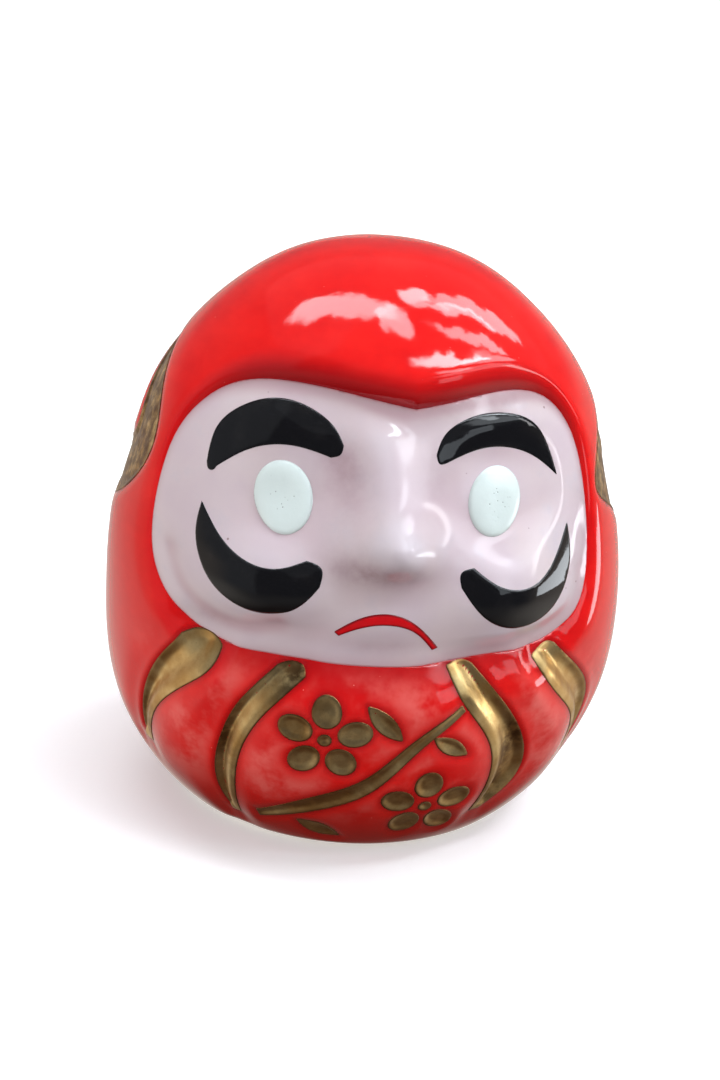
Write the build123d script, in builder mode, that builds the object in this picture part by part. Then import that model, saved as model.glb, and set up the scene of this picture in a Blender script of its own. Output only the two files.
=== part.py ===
from build123d import *
import math
import os

# A daruma doll: a hollow slip-cast ceramic figure with a hood and robe in red glaze, a
# sunken white face with a modelled nose, enamel features and brushed gold strokes.
#
# Frame: +Z is up, -Y is the front, +X is the viewer's right. The origin is on the ground,
# under the middle of the doll. Lengths are in millimetres and angles in degrees. An angle
# round the doll is 0 at the front and grows towards +X.

os.makedirs("parts", exist_ok=True)

# ---------------------------------------------------------------- driving dimensions
WIDTH = 100.0  # across the cheeks
DEPTH = 93.3  # front to back
HEIGHT = 109.4  # foot to crown
WAIST_Z = 39.9  # height of the widest ring
LOWER_REACH = 50.3  # half height of the lower curve, which the flat foot cuts short
UPPER_POWERS = (2.05, 2.31)  # roundness of the upper curve, along Z and across
LOWER_POWERS = (2.2, 2.15)  # the same below the widest ring
PROFILE_STEPS = 10  # profile points on each side of the widest ring

GLAZE = 0.6  # thickness of the red and white glazes
GLAZE_LINE = 1.6  # height where the red glaze stops above the foot
FOOT_TRIM = 1.0  # the forms are drawn this far below the ground, then cut flat
WALL = 4.2  # fired clay at the sides, back and crown
FRONT_WALL = 8.4  # fired clay behind the face, where the relief is cut
FLOOR = 5.0  # fired clay over the foot
FOOT_RING = 6.0  # width of the ring that the doll stands on
FOOT_RECESS = 1.5  # depth of the hollow inside that ring
VENT_RADIUS = 4.0  # hole in the floor that casting and firing need

ENAMEL = 0.35  # black and red enamel standing on the white glaze
EYE_RISE = 0.8  # pale enamel of the eyes
GOLD_SUNK = 0.12  # gold lies this far below the red glaze, in its groove

CUT_FROM = 60.0  # distance from the axis where every cutter starts
CUT_DEPTH = 58.0  # how far a cutter goes in from there

# ---------------------------------------------------------------- the face's relief
FACE_INSET = 3.4  # plain face behind the outer form, in the middle
FACE_SIDE_INSET = 1.8  # the same at the cheeks' outer edges
FACE_HALF_WIDTH = 41.0
FACE_ANGLE = 74.0  # the relief surface reaches this far round to each side
FACE_LOW, FACE_HIGH = 40.0, 95.0  # heights that the relief surface covers
RELIEF_COLUMNS, RELIEF_ROWS = 34, 28

# each swell is (x, z, half width, half height, rise); a negative rise is a hollow
FACE_SWELLS = [
    (0.3, 65.0, 8.0, 5.5, 3.6),  # ball of the nose
    (0.5, 74.0, 5.5, 9.0, 2.2),  # bridge
    (-18.5, 72.0, 10.0, 8.5, -1.5),  # eye sockets
    (17.5, 73.0, 10.0, 8.5, -1.5),
    (-25.0, 56.0, 11.0, 8.0, 1.3),  # cheeks
    (24.0, 55.5, 11.0, 8.0, 1.3),
    (-0.5, 50.5, 8.0, 3.5, 0.7),  # lips
]

# ---------------------------------------------------------------- outlines on the face
# Points are (x, z) from straight in front. An outline is a list of runs that share their
# ends: two points make a line and more make a spline.
FACE_OUTLINE = [
    [
        (3.3, 87.5),
        (-4.7, 88.9),
        (-15.0, 89.8),
        (-25.0, 88.5),
        (-32.0, 84.0),
        (-38.0, 75.0),
        (-41.0, 61.5),
        (-40.0, 52.5),
        (-34.5, 46.2),
        (-25.0, 43.9),
        (-10.0, 43.8),
        (5.5, 44.0),
        (20.5, 45.3),
        (31.5, 46.3),
        (36.9, 51.0),
        (38.0, 60.2),
        (36.8, 70.3),
        (33.5, 80.8),
        (27.5, 87.7),
        (19.5, 89.8),
        (10.5, 88.7),
        (3.3, 87.5),
    ]
]
BROW_LEFT = [
    [(-31.2, 73.7), (-30.1, 79.8), (-25.9, 84.8), (-18.3, 87.0), (-11.2, 84.3), (-8.9, 81.0)],
    [(-8.9, 81.0), (-9.4, 79.4), (-11.0, 78.7)],
    [(-11.0, 78.7), (-17.8, 79.9), (-24.8, 78.1), (-31.2, 73.7)],
]
BROW_RIGHT = [
    [(7.1, 80.1), (8.7, 83.5), (13.5, 86.1), (19.6, 86.4), (25.6, 83.8), (30.3, 74.8)],
    [(30.3, 74.8), (24.7, 79.1), (16.7, 80.9), (8.8, 79.2)],
    [(8.8, 79.2), (7.5, 79.3), (7.1, 80.1)],
]
WHISKER_LEFT = [
    [(-32.5, 67.4), (-33.4, 61.3), (-30.4, 54.6), (-23.4, 51.4), (-16.8, 52.8), (-12.1, 57.6)],
    [(-12.1, 57.6), (-11.9, 60.7), (-14.5, 61.7)],
    [(-14.5, 61.7), (-21.4, 59.8), (-28.4, 62.1), (-32.5, 67.4)],
]
WHISKER_RIGHT = [
    [(32.9, 66.5), (33.9, 59.6), (31.0, 52.8), (25.0, 50.0), (18.0, 52.2), (12.5, 58.3)],
    [(12.5, 58.3), (12.3, 60.8), (14.6, 61.6)],
    [(14.6, 61.6), (20.0, 58.3), (25.9, 57.8), (30.0, 60.7), (32.9, 66.5)],
]
MOUTH = [
    [(-8.7, 49.2), (-5.1, 52.0), (-0.8, 53.3), (4.0, 52.1), (9.3, 46.8)],
    [(9.3, 46.8), (8.6, 46.5)],
    [(8.6, 46.5), (4.5, 50.5), (-0.6, 51.6), (-4.7, 50.6), (-8.1, 48.7)],
    [(-8.1, 48.7), (-8.7, 49.2)],
]
EYES = {  # (x, z, half width, half height)
    "eye_left": (-18.7, 70.8, 5.0, 5.9),
    "eye_right": (18.3, 71.6, 4.9, 5.7),
}

# ---------------------------------------------------------------- gold on the robe
# Points are (angle round the doll, z). Each stroke also has the angle it is cut from.
GOLD_STROKES = {
    "stripe_outer_left": (
        -52.0,
        [
            [(-46.5, 43.0), (-55.0, 35.0), (-62.0, 25.0), (-68.0, 14.0)],
            [(-68.0, 14.0), (-63.0, 14.5)],
            [(-63.0, 14.5), (-56.0, 24.0), (-46.5, 32.0), (-37.0, 39.0), (-34.5, 42.8)],
            [(-34.5, 42.8), (-36.5, 44.2), (-41.4, 44.6), (-46.5, 43.0)],
        ],
    ),
    "stripe_inner_left": (
        -27.0,
        [
            [(-21.9, 41.6), (-30.0, 34.5), (-36.0, 24.0), (-39.5, 13.0), (-39.0, 5.0)],
            [(-39.0, 5.0), (-36.0, 5.0)],
            [(-36.0, 5.0), (-33.2, 14.0), (-29.5, 24.5), (-23.0, 34.0), (-15.7, 40.4)],
            [(-15.7, 40.4), (-16.1, 42.0), (-18.8, 42.5), (-21.9, 41.6)],
        ],
    ),
    "stripe_inner_right": (
        26.0,
        [
            [(13.2, 43.2), (17.5, 36.8), (25.5, 27.5), (29.0, 18.0), (29.5, 9.0)],
            [(29.5, 9.0), (33.0, 9.0)],
            [(33.0, 9.0), (39.5, 16.5), (36.5, 25.5), (26.5, 37.0), (19.4, 43.2)],
            [(19.4, 43.2), (16.6, 44.0), (13.2, 43.2)],
        ],
    ),
    "stripe_outer_right": (
        48.0,
        [
            [(33.7, 43.2), (43.0, 34.5), (53.0, 26.5), (60.0, 15.0)],
            [(60.0, 15.0), (64.0, 15.5)],
            [(64.0, 15.5), (62.0, 27.5), (51.0, 38.0), (41.4, 44.4)],
            [(41.4, 44.4), (38.0, 45.0), (33.7, 43.2)],
        ],
    ),
    "ear_mark_left": (
        -86.0,
        [
            [(-98.0, 90.0), (-80.0, 84.5), (-68.0, 73.5), (-76.0, 64.0), (-92.0, 57.5)],
            [(-92.0, 57.5), (-104.0, 60.5), (-98.0, 69.0)],
            [(-98.0, 69.0), (-84.5, 74.0), (-98.0, 90.0)],
        ],
    ),
    "ear_mark_right": (
        82.0,
        [
            [(94.0, 89.0), (74.0, 83.0), (60.5, 72.5), (70.0, 63.5), (87.0, 57.0)],
            [(87.0, 57.0), (99.0, 60.0), (93.0, 68.5)],
            [(93.0, 68.5), (79.0, 73.5), (94.0, 89.0)],
        ],
    ),
}

# A blossoming twig on the belly. Points and sizes are (x, z) from straight in front.
TWIG = [
    [(-20.0, 9.0), (-11.0, 15.5), (-2.0, 21.0), (6.0, 29.5), (15.0, 36.5)],
    [(15.0, 36.5), (15.8, 35.2)],
    [(15.8, 35.2), (7.5, 27.5), (0.0, 18.0), (-9.0, 12.2), (-19.0, 7.0)],
    [(-19.0, 7.0), (-20.0, 9.0)],
]
BLOSSOMS = {"blossom_left": (-9.5, 29.5), "blossom_right": (10.5, 14.0)}
PETAL_COUNT = 5
PETAL_REACH = 5.6  # from the blossom's middle to a petal's middle
PETAL_LENGTH, PETAL_WIDTH = 6.4, 5.4
BLOSSOM_HEART = 1.3  # radius of the dab in a blossom's middle
LEAVES = {  # (root, tip, half width)
    "leaf_low": ((-12.6, 8.6), (-4.0, 4.4), 1.8),
    "leaf_high": ((4.5, 30.0), (-2.5, 37.0), 1.8),
    "leaf_right": ((10.0, 30.5), (17.0, 26.0), 1.7),
}


# ---------------------------------------------------------------- the outer form
def ring_radius(z, inset=0.0):
    """Half width of the outer form at height z, pulled in all round by inset."""
    if z >= WAIST_Z:
        reach, (along, across) = HEIGHT - WAIST_Z - inset, UPPER_POWERS
    else:
        reach, (along, across) = LOWER_REACH - inset, LOWER_POWERS
    share = min(abs(z - WAIST_Z) / reach, 1.0)
    return (WIDTH / 2 - inset) * (1 - share**along) ** (1 / across)


def form_point(angle, z, inset=0.0):
    """The point of the outer form at this angle and height, pulled in by inset."""
    radius = ring_radius(z, inset)
    depth_share = (DEPTH / 2 - inset) / (WIDTH / 2 - inset)
    around = math.radians(angle)
    return (radius * math.sin(around), -depth_share * radius * math.cos(around), z)


def egg(inset, foot_z=-FOOT_TRIM, half_depth=None):
    """The outer form as a solid, pulled in all round by inset, down to foot_z."""
    crown_z = HEIGHT - inset
    profile = []
    for step in range(PROFILE_STEPS):
        z = WAIST_Z - (WAIST_Z - foot_z) * math.cos(math.radians(90 * step / PROFILE_STEPS))
        profile.append((ring_radius(z, inset), z))
    for step in range(PROFILE_STEPS + 1):
        z = WAIST_Z + (crown_z - WAIST_Z) * math.sin(math.radians(90 * step / PROFILE_STEPS))
        profile.append((ring_radius(z, inset), z))
    profile[-1] = (0.0, crown_z)
    depth_share = (half_depth or DEPTH / 2 - inset) / (WIDTH / 2 - inset)
    with BuildPart() as form:
        with BuildSketch(Plane.XZ):
            with BuildLine():
                Spline(*profile)
                Polyline((0, crown_z), (0, foot_z), profile[0])
            make_face()
        revolve(axis=Axis.Z)
        scale(by=(1, depth_share, 1))
    return form.part


# ---------------------------------------------------------------- cutters
def facing(angle):
    """The upright plane that looks at the doll from this angle, clear of its surface."""
    around = math.radians(angle)
    outward = Vector(math.sin(around), -math.cos(around), 0)
    sideways = Vector(math.cos(around), math.sin(around), 0)
    return Plane(origin=outward * CUT_FROM, x_dir=sideways, z_dir=outward)


def outline_cutter(runs, angle=0.0):
    """A prism with this outline, going into the doll from this angle."""
    with BuildPart() as cutter:
        with BuildSketch(facing(angle)):
            with BuildLine():
                for run in runs:
                    if len(run) == 2:
                        Line(*run)
                    else:
                        Spline(*run)
            make_face()
        extrude(amount=-CUT_DEPTH)
    return cutter.part


def robe_cutter(angle, runs):
    """The same for an outline given as angles and heights on the robe."""
    around = math.radians(angle)
    seen = []
    for run in runs:
        points = [form_point(at, z) for at, z in run]
        seen.append([(x * math.cos(around) + y * math.sin(around), z) for x, y, z in points])
    return outline_cutter(seen, angle)


def ellipse_cutter(x, z, half_width, half_height, turn=0.0):
    """A prism with an elliptical outline, going in from straight in front."""
    with BuildPart() as cutter:
        with BuildSketch(facing(0)):
            with Locations((x, z)):
                Ellipse(half_width, half_height, rotation=turn)
        extrude(amount=-CUT_DEPTH)
    return cutter.part


def leaf_cutter(root, tip, half_width):
    """A prism with the outline of a leaf: two arcs from root to tip."""
    middle = (Vector(*root) + Vector(*tip)) / 2
    along = (Vector(*tip) - Vector(*root)).normalized()
    aside = along.rotate(Axis.Z, 90) * half_width
    with BuildPart() as cutter:
        with BuildSketch(facing(0)):
            with BuildLine():
                ThreePointArc(root, middle + aside, tip)
                ThreePointArc(tip, middle - aside, root)
            make_face()
        extrude(amount=-CUT_DEPTH)
    return cutter.part


# ---------------------------------------------------------------- shared forms
outer_form = egg(0.0)
glaze_floor = egg(GLAZE)
gold_top = egg(GOLD_SUNK)
cavity_half_depth = (DEPTH - WALL - FRONT_WALL) / 2
cavity_shift = (FRONT_WALL - WALL) / 2
cavity = Pos(0, cavity_shift, 0) * egg(WALL, FLOOR, cavity_half_depth)


def face_depth(x, z):
    """How far the face lies behind the outer form at x, z, straight back."""
    depth = FACE_INSET - (FACE_INSET - FACE_SIDE_INSET) * (x / FACE_HALF_WIDTH) ** 2
    for middle_x, middle_z, half_width, half_height, rise in FACE_SWELLS:
        spread = ((x - middle_x) / half_width) ** 2 + ((z - middle_z) / half_height) ** 2
        depth -= rise * math.exp(-spread)
    return depth


def relief_surface():
    """The modelled front of the face, as one smooth surface."""
    grid = []
    for column in range(RELIEF_COLUMNS + 1):
        angle = FACE_ANGLE * (2 * column / RELIEF_COLUMNS - 1)
        line = []
        for row in range(RELIEF_ROWS + 1):
            z = FACE_LOW + (FACE_HIGH - FACE_LOW) * row / RELIEF_ROWS
            x, y, _ = form_point(angle, z)
            line.append((x, y + face_depth(x, z), z))
        grid.append(line)
    return Face.make_surface_from_array_of_points(grid, tol=0.02)


face_front = relief_surface()
face_back = face_front.moved(Location((0, GLAZE, 0)))
face_opening = outline_cutter(FACE_OUTLINE)

with BuildPart() as white_layer:
    extrude(to_extrude=face_front, amount=GLAZE, dir=(0, 1, 0))

with BuildPart() as enamel_layer:
    extrude(to_extrude=face_front, amount=ENAMEL, dir=(0, -1, 0))

with BuildPart() as eye_layer:
    extrude(to_extrude=face_front, amount=EYE_RISE, dir=(0, -1, 0))

with BuildPart() as air_before_face:
    add(face_opening)
    extrude(to_extrude=face_back, amount=CUT_DEPTH, dir=(0, 1, 0), mode=Mode.SUBTRACT)

# ---------------------------------------------------------------- fired clay
with BuildPart() as body_shell:
    add(glaze_floor)
    split(bisect_by=Plane.XY, keep=Keep.TOP)
    add(air_before_face.part, mode=Mode.SUBTRACT)
    add(cavity, mode=Mode.SUBTRACT)
    with BuildSketch():
        Circle(ring_radius(0, GLAZE) - FOOT_RING)
    extrude(amount=FOOT_RECESS, mode=Mode.SUBTRACT)
    with BuildSketch():
        Circle(VENT_RADIUS)
    extrude(amount=FLOOR * 2, mode=Mode.SUBTRACT)
body_shell.part.label = "body_shell"
export_step(body_shell.part, "parts/body_shell.step")

# ---------------------------------------------------------------- glazes
with BuildPart() as face_glaze:
    add(face_opening)
    add(white_layer.part, mode=Mode.INTERSECT)
face_glaze.part.label = "face_glaze"
export_step(face_glaze.part, "parts/face_glaze.step")

gold_cutters = {}
for name, (angle, runs) in GOLD_STROKES.items():
    gold_cutters[name] = robe_cutter(angle, runs)
gold_cutters["twig"] = outline_cutter(TWIG)
for name, (x, z) in BLOSSOMS.items():
    for petal in range(PETAL_COUNT):
        turn = 90 + 360 / PETAL_COUNT * petal
        petal_x = x + PETAL_REACH * math.cos(math.radians(turn))
        petal_z = z + PETAL_REACH * math.sin(math.radians(turn))
        gold_cutters[f"{name}_petal_{petal + 1}"] = ellipse_cutter(
            petal_x, petal_z, PETAL_LENGTH / 2, PETAL_WIDTH / 2, turn
        )
    gold_cutters[f"{name}_heart"] = ellipse_cutter(x, z, BLOSSOM_HEART, BLOSSOM_HEART)
for name, (root, tip, half_width) in LEAVES.items():
    gold_cutters[name] = leaf_cutter(root, tip, half_width)

with BuildPart() as robe_glaze:
    add(outer_form)
    add(glaze_floor, mode=Mode.SUBTRACT)
    add(face_opening, mode=Mode.SUBTRACT)
    for cutter in gold_cutters.values():
        add(cutter, mode=Mode.SUBTRACT)
    split(bisect_by=Plane.XY.offset(GLAZE_LINE), keep=Keep.TOP)
robe_glaze.part.label = "robe_glaze"
export_step(robe_glaze.part, "parts/robe_glaze.step")

# ---------------------------------------------------------------- gold strokes
for name, cutter in gold_cutters.items():
    with BuildPart() as gold_stroke:
        add(cutter)
        add(gold_top, mode=Mode.INTERSECT)
        add(glaze_floor, mode=Mode.SUBTRACT)
    gold_stroke.part.label = name
    export_step(gold_stroke.part, f"parts/{name}.step")

# ---------------------------------------------------------------- enamels on the face
ENAMEL_MARKS = {
    "brow_left": BROW_LEFT,
    "brow_right": BROW_RIGHT,
    "whisker_left": WHISKER_LEFT,
    "whisker_right": WHISKER_RIGHT,
    "mouth": MOUTH,
}
for name, runs in ENAMEL_MARKS.items():
    with BuildPart() as mark:
        add(outline_cutter(runs))
        add(enamel_layer.part, mode=Mode.INTERSECT)
    mark.part.label = name
    export_step(mark.part, f"parts/{name}.step")

for name, (x, z, half_width, half_height) in EYES.items():
    with BuildPart() as eye:
        add(ellipse_cutter(x, z, half_width, half_height))
        add(eye_layer.part, mode=Mode.INTERSECT)
    eye.part.label = name
    export_step(eye.part, f"parts/{name}.step")
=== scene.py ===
"""A glazed ceramic daruma doll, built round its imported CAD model.

Shapes are worked out in millimetres on one egg-shaped form and turned into metres when a
mesh is made. The front is -Y, +X is the viewer's right and +Z is up. A place on the form is
an angle round the doll, 0 at the front and growing towards +X, and a height.
"""
import math

import bpy
import numpy as np
from mathutils import Matrix, Vector


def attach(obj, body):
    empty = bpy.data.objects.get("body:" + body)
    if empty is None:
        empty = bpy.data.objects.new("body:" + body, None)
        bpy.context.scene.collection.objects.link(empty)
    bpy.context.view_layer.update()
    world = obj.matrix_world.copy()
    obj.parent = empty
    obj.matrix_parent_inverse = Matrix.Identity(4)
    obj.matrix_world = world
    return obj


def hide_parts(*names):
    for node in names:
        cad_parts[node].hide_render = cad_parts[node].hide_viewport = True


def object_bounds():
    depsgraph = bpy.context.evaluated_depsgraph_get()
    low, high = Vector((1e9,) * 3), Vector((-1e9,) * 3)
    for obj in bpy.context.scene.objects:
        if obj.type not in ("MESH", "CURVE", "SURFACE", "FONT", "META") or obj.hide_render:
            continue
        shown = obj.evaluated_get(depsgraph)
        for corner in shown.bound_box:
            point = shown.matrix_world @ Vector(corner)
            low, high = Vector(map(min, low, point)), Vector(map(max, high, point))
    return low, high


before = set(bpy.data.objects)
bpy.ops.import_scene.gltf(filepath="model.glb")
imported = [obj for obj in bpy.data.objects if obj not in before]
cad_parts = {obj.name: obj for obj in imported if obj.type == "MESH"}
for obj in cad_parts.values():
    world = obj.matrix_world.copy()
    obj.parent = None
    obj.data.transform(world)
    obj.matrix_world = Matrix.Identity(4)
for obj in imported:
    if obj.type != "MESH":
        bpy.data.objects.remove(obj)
cad_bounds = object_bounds()

MM = 0.001
BODY = "root"

# ---- the outer form
HALF_WIDTH = (cad_bounds[1][0] - cad_bounds[0][0]) / 2 / MM
HALF_DEPTH = (cad_bounds[1][1] - cad_bounds[0][1]) / 2 / MM
HEIGHT = cad_bounds[1][2] / MM
WAIST_Z = 0.3647 * HEIGHT  # height of the widest ring
LOWER_REACH = 50.3  # half height of the lower curve, which the flat foot cuts short
UPPER_POWERS = (2.05, 2.31)  # roundness of the upper curve, along Z and across
LOWER_POWERS = (2.2, 2.15)
ARC = 47.0  # radius that turns an angle into a width when the form is unrolled

GLAZE = 0.6  # thickness of the red and white glaze
GLAZE_LINE = 1.6  # height where the red glaze ends over the bare foot
CAVITY_FLOOR = 5.0  # height of the cavity's floor
CAVITY_TOP = HEIGHT - 6.2
CAVITY_SHARE = (0.88, 0.86)  # the cavity's width and depth as shares of the form's
CLAY_GAP, CLAY_GAP_Z = 0.35, 4.0  # space between clay and glaze, full from this height up
CLAY_TOP = HEIGHT - GLAZE - 0.4
FOOT_RING = 6.0  # width of the ring the doll stands on
FOOT_RECESS = 1.5
VENT_RADIUS = 4.0

# ---- relief
# Three measures that vary round the face: over it, at its sides and under its chin.
EDGE_DROP = (4.4, 2.0, 4.0)  # how far the robe rolls back to meet the face
EDGE_ROLL = (6.0, 6.5, 9.0)  # the width of that roll
FACE_BLEND = (4.5, 11.0, 8.0)  # the face settles to its own depth over this
FACE_DEPTH = 3.3  # plain face behind the outer form, in the middle
FACE_DEPTH_SIDE = 2.7
FACE_DEPTH_TOP = 4.9
FACE_DEPTH_CHIN = 4.6
FACE_HALF_WIDTH = 41.0
ROLL_POWER = 1.7  # the roll starts gently and steepens towards the face
SWELL_BLEND = 5.0  # swells fade out this close to the face's edge
CHIN_Z, CHIN_BLEND = 57.0, 11.0  # the chin's depths grow over this much below here
TOP_Z, TOP_BLEND = 73.0, 13.0  # the top's over this much above here
RIDGE_X, RIDGE_HEIGHT, RIDGE_HALF_WIDTH = 2.2, 4.2, 5.0  # the nose's ridge, at its foot
RIDGE_TOP_Z, RIDGE_FOOT_Z, RIDGE_FOOT_BLEND = 90.0, 59.0, 8.0
RIDGE_LEAN = -0.2  # how far the ridge moves to +X for each millimetre up
FACE_SWELLS = [  # (x, z, half width, half height, rise, squareness)
    (-1.0, 64.6, 9.2, 6.6, 3.6, 1.2),  # tip of the nose
    (-18.5, 71.5, 9.5, 7.5, -2.6, 1.0),  # eye sockets
    (19.5, 73.0, 11.5, 9.3, -2.2, 2.0),
    (-9.5, 77.0, 5.0, 5.5, -0.9, 1.0),  # their inner corners
    (9.5, 76.5, 5.0, 5.5, -0.5, 1.0),
    (-20.0, 83.0, 10.0, 4.0, 1.0, 1.0),  # brows
    (19.5, 84.5, 9.5, 4.0, 1.0, 1.0),
    (-22.0, 56.5, 11.2, 7.4, 3.0, 1.6),  # cheeks
    (23.0, 55.0, 11.5, 9.0, 3.4, 1.1),
    (-2.0, 82.0, 5.0, 5.0, 0.7, 1.0),  # between the brows
    (-0.5, 51.0, 9.0, 3.8, 1.3, 1.0),  # lips
]
CREASES = [  # (x, z) along the folds of the face below and outside its cheeks
    [(-37.6, 57.5), (-35.6, 51.8), (-31.0, 47.8), (-24.5, 47.2), (-19.0, 49.5)],
    [(37.0, 57.0), (35.8, 50.5), (31.0, 48.3), (25.0, 47.6)],
]
CREASE_DEPTH, CREASE_REACH = 0.7, 2.4
TEMPLES = [  # (angle, z, half angle, half height, rise) of the robe's swell and dent on both sides
    (80.0, 84.0, 26.0, 8.0, 0.3),
    (86.0, 69.0, 22.0, 8.0, -0.6),
]
CROWN_FLAT = (0.45, 101.0, 7.0)  # depth, z, half height
SWAY = (0.7, 38.0, 16.0)  # the sides lean this far to +X, z, half height
# Troughs: depth at the outline, how far out it fades, more depth inside, width of that slope.
FOLDS = (0.9, 3.6, 1.5, 3.2)  # of the robe along the gold stripes
FOLD_SHIFT = (0.9, 0.7)  # they are deepest up and outward of the stripes' middles
GROOVES = (0.35, 1.0, 0.5, 1.6)  # under the motif and the ear marks
WOBBLE = 0.05
# (waves round the doll, radians of wave per millimetre up, start)
WOBBLE_WAVES = [(2, 0.062, 0.3), (3, 0.104, 1.9), (5, 0.086, 4.0), (7, 0.166, 2.2)]
HOLLOW_RADIUS, HOLLOW_PROBES = 3.2, 8  # a place is compared with this many round it
FACE_REACH = 12.0  # distances to the face's edge are worked out this far outside it

# ---- tones, painted shade and painted reflection in the glaze and gold
FACE_SHADES = [  # (x, z, half width, half height, strength) of the painted shade in the glaze, where shade falls
    (-3.0, 61.0, 8.5, 2.6, 0.7),  # under the nose
    (-9.0, 77.5, 4.0, 4.5, 0.45),  # inner corners of the eyes
    (7.0, 76.5, 3.5, 4.5, 0.25),
    (-7.0, 70.0, 7.0, 10.0, 0.2),  # the nose's shaded side
    (-1.0, 47.0, 9.0, 2.0, 0.25),  # under the lips
    (15.0, 87.5, 9.0, 2.5, 0.4),  # under the hood
    (37.0, 68.0, 2.5, 11.0, 0.3),
    (-30.0, 47.5, 5.0, 1.6, 0.4),  # under the left cheek
    (-18.0, 50.0, 3.5, 1.0, 0.35),
]
RIM_SHADE_REACH = 6.5  # painted shade with pooled glaze: the robe is darker this far out from the face
RIM_SHADE_END, RIM_SHADE_FADE = 1.05, 0.6  # but not at its sides, as shares of its half width
RIM_SHADE_LOW_Z, RIM_SHADE_LOW = 60.0, 0.5  # and below this height only this much
POOL_REACH = 0.55  # the red glaze is dark this close to gold
PALE_TOP, PALE_TOP_FADE = 44.0, 7.0  # the robe's paler cloth lies between these heights
PALE_FOOT, PALE_FOOT_FADE = 6.0, 12.0
PALE_ANGLE, PALE_ANGLE_FADE = 1.2, 0.5  # and within this angle, in radians
PALE_GOLD_REACH = 2.4  # but not this close to gold
STRIPE_REFLECTION_PATCHES = [  # (angle, z, half angle, half height, strength) of the painted dark reflections on the stripes' gold
    (-19.0, 40.5, 6.0, 4.5, 0.9),
    (-36.5, 27.0, 3.5, 10.0, 0.7),
    (-62.0, 22.0, 4.0, 6.0, 0.5),
    (35.0, 27.0, 4.0, 9.0, 0.9),
    (35.0, 14.0, 4.5, 5.0, 0.7),
    (58.0, 24.0, 6.0, 7.0, 0.6),
]
EAR_BROWN, MOTIF_BROWN = 0.85, 0.28  # an even brown tone, the same all over the ear marks and the motif

# ---- outlines
# An outline is a list of runs, each ending where the next begins: a run of one point is a line
# and a longer one a spline. On the face and belly the points are (x, z) from straight in front.
FACE_OUTLINE = [
    [
        (3.3, 86.9), (-4.7, 88.2), (-15.0, 89.3), (-25.0, 88.2), (-32.0, 83.9), (-38.0, 75.0),
        (-41.0, 61.5), (-40.0, 52.5), (-34.5, 45.9), (-25.0, 43.3), (-10.0, 43.1), (5.5, 43.3),
        (20.5, 44.7), (31.5, 46.0), (36.9, 51.0), (38.0, 60.2), (36.8, 70.3), (33.5, 80.7),
        (27.5, 87.4), (19.5, 89.3), (10.5, 88.1),
    ]
]
BLACK_MARKS = {
    "brow_left": [
        [(-31.9, 74.0), (-30.4, 79.7), (-25.9, 84.3), (-18.3, 86.5), (-11.2, 83.8)],
        [(-8.9, 80.5), (-9.4, 78.9)],
        [(-11.0, 78.2), (-17.8, 79.4), (-24.6, 77.6)],
        [(-30.2, 73.6), (-30.8, 72.8), (-31.6, 72.8)],
    ],
    "brow_right": [
        [(7.1, 79.8), (8.7, 83.1), (13.5, 85.7), (19.6, 86.0), (25.9, 83.3)],
        [(30.6, 74.3), (24.7, 78.6), (16.7, 80.4)],
        [(9.6, 78.5), (7.8, 78.3)],
    ],
    "whisker_left": [
        [(-32.5, 67.4), (-33.4, 61.3), (-30.4, 54.6), (-23.4, 51.4), (-16.8, 52.8)],
        [(-12.1, 57.6), (-11.9, 60.7)],
        [(-14.5, 61.7), (-21.4, 59.8), (-28.4, 62.1)],
    ],
    "whisker_right": [
        [(32.9, 66.5), (33.9, 59.6), (31.0, 52.8), (25.0, 50.0), (18.0, 52.2)],
        [(12.5, 58.3), (12.3, 60.8)],
        [(14.6, 61.6), (20.0, 58.3), (25.9, 57.8), (30.0, 60.7)],
    ],
}
MOUTH = [
    [(-8.7, 49.2), (-5.1, 52.0), (-0.8, 53.3), (4.0, 52.1)],
    [(9.3, 46.8)],
    [(8.6, 46.5), (4.5, 50.5), (-0.6, 51.6), (-4.7, 50.6)],
    [(-8.1, 48.7)],
]
EYES = {  # (x, z, half width, half height)
    "eye_left": (-18.7, 70.8, 5.0, 5.9),
    "eye_right": (18.3, 71.6, 4.9, 5.7),
}
# On the robe the points are (angle round the doll, z).
STRIPES = {
    "stripe_outer_left": [
        [(-46.5, 43.0), (-55.0, 35.0), (-62.0, 25.0)],
        [(-68.0, 14.0)],
        [(-63.0, 14.5), (-56.0, 24.0), (-46.5, 32.0), (-37.0, 39.0)],
        [(-34.5, 42.8), (-36.5, 44.2), (-41.4, 44.6)],
    ],
    "stripe_inner_left": [
        [(-21.9, 41.6), (-30.0, 34.5), (-36.0, 24.0), (-39.5, 13.0)],
        [(-39.0, 5.0)],
        [(-36.0, 5.0), (-33.2, 14.0), (-29.5, 24.5), (-23.0, 34.0)],
        [(-15.7, 40.4), (-16.1, 42.0), (-18.8, 42.5)],
    ],
    "stripe_inner_right": [
        [(13.2, 43.2), (17.5, 36.8), (25.5, 27.5), (29.0, 18.0)],
        [(29.5, 9.0)],
        [(33.0, 9.0), (39.5, 16.5), (36.5, 25.5), (26.5, 37.0)],
        [(19.4, 43.2), (16.6, 44.0)],
    ],
    "stripe_outer_right": [
        [(33.7, 43.2), (43.0, 34.5), (53.0, 26.5)],
        [(60.0, 15.0)],
        [(64.0, 15.5), (62.0, 27.5), (51.0, 38.0)],
        [(41.4, 44.4), (38.0, 45.0)],
    ],
}
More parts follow.
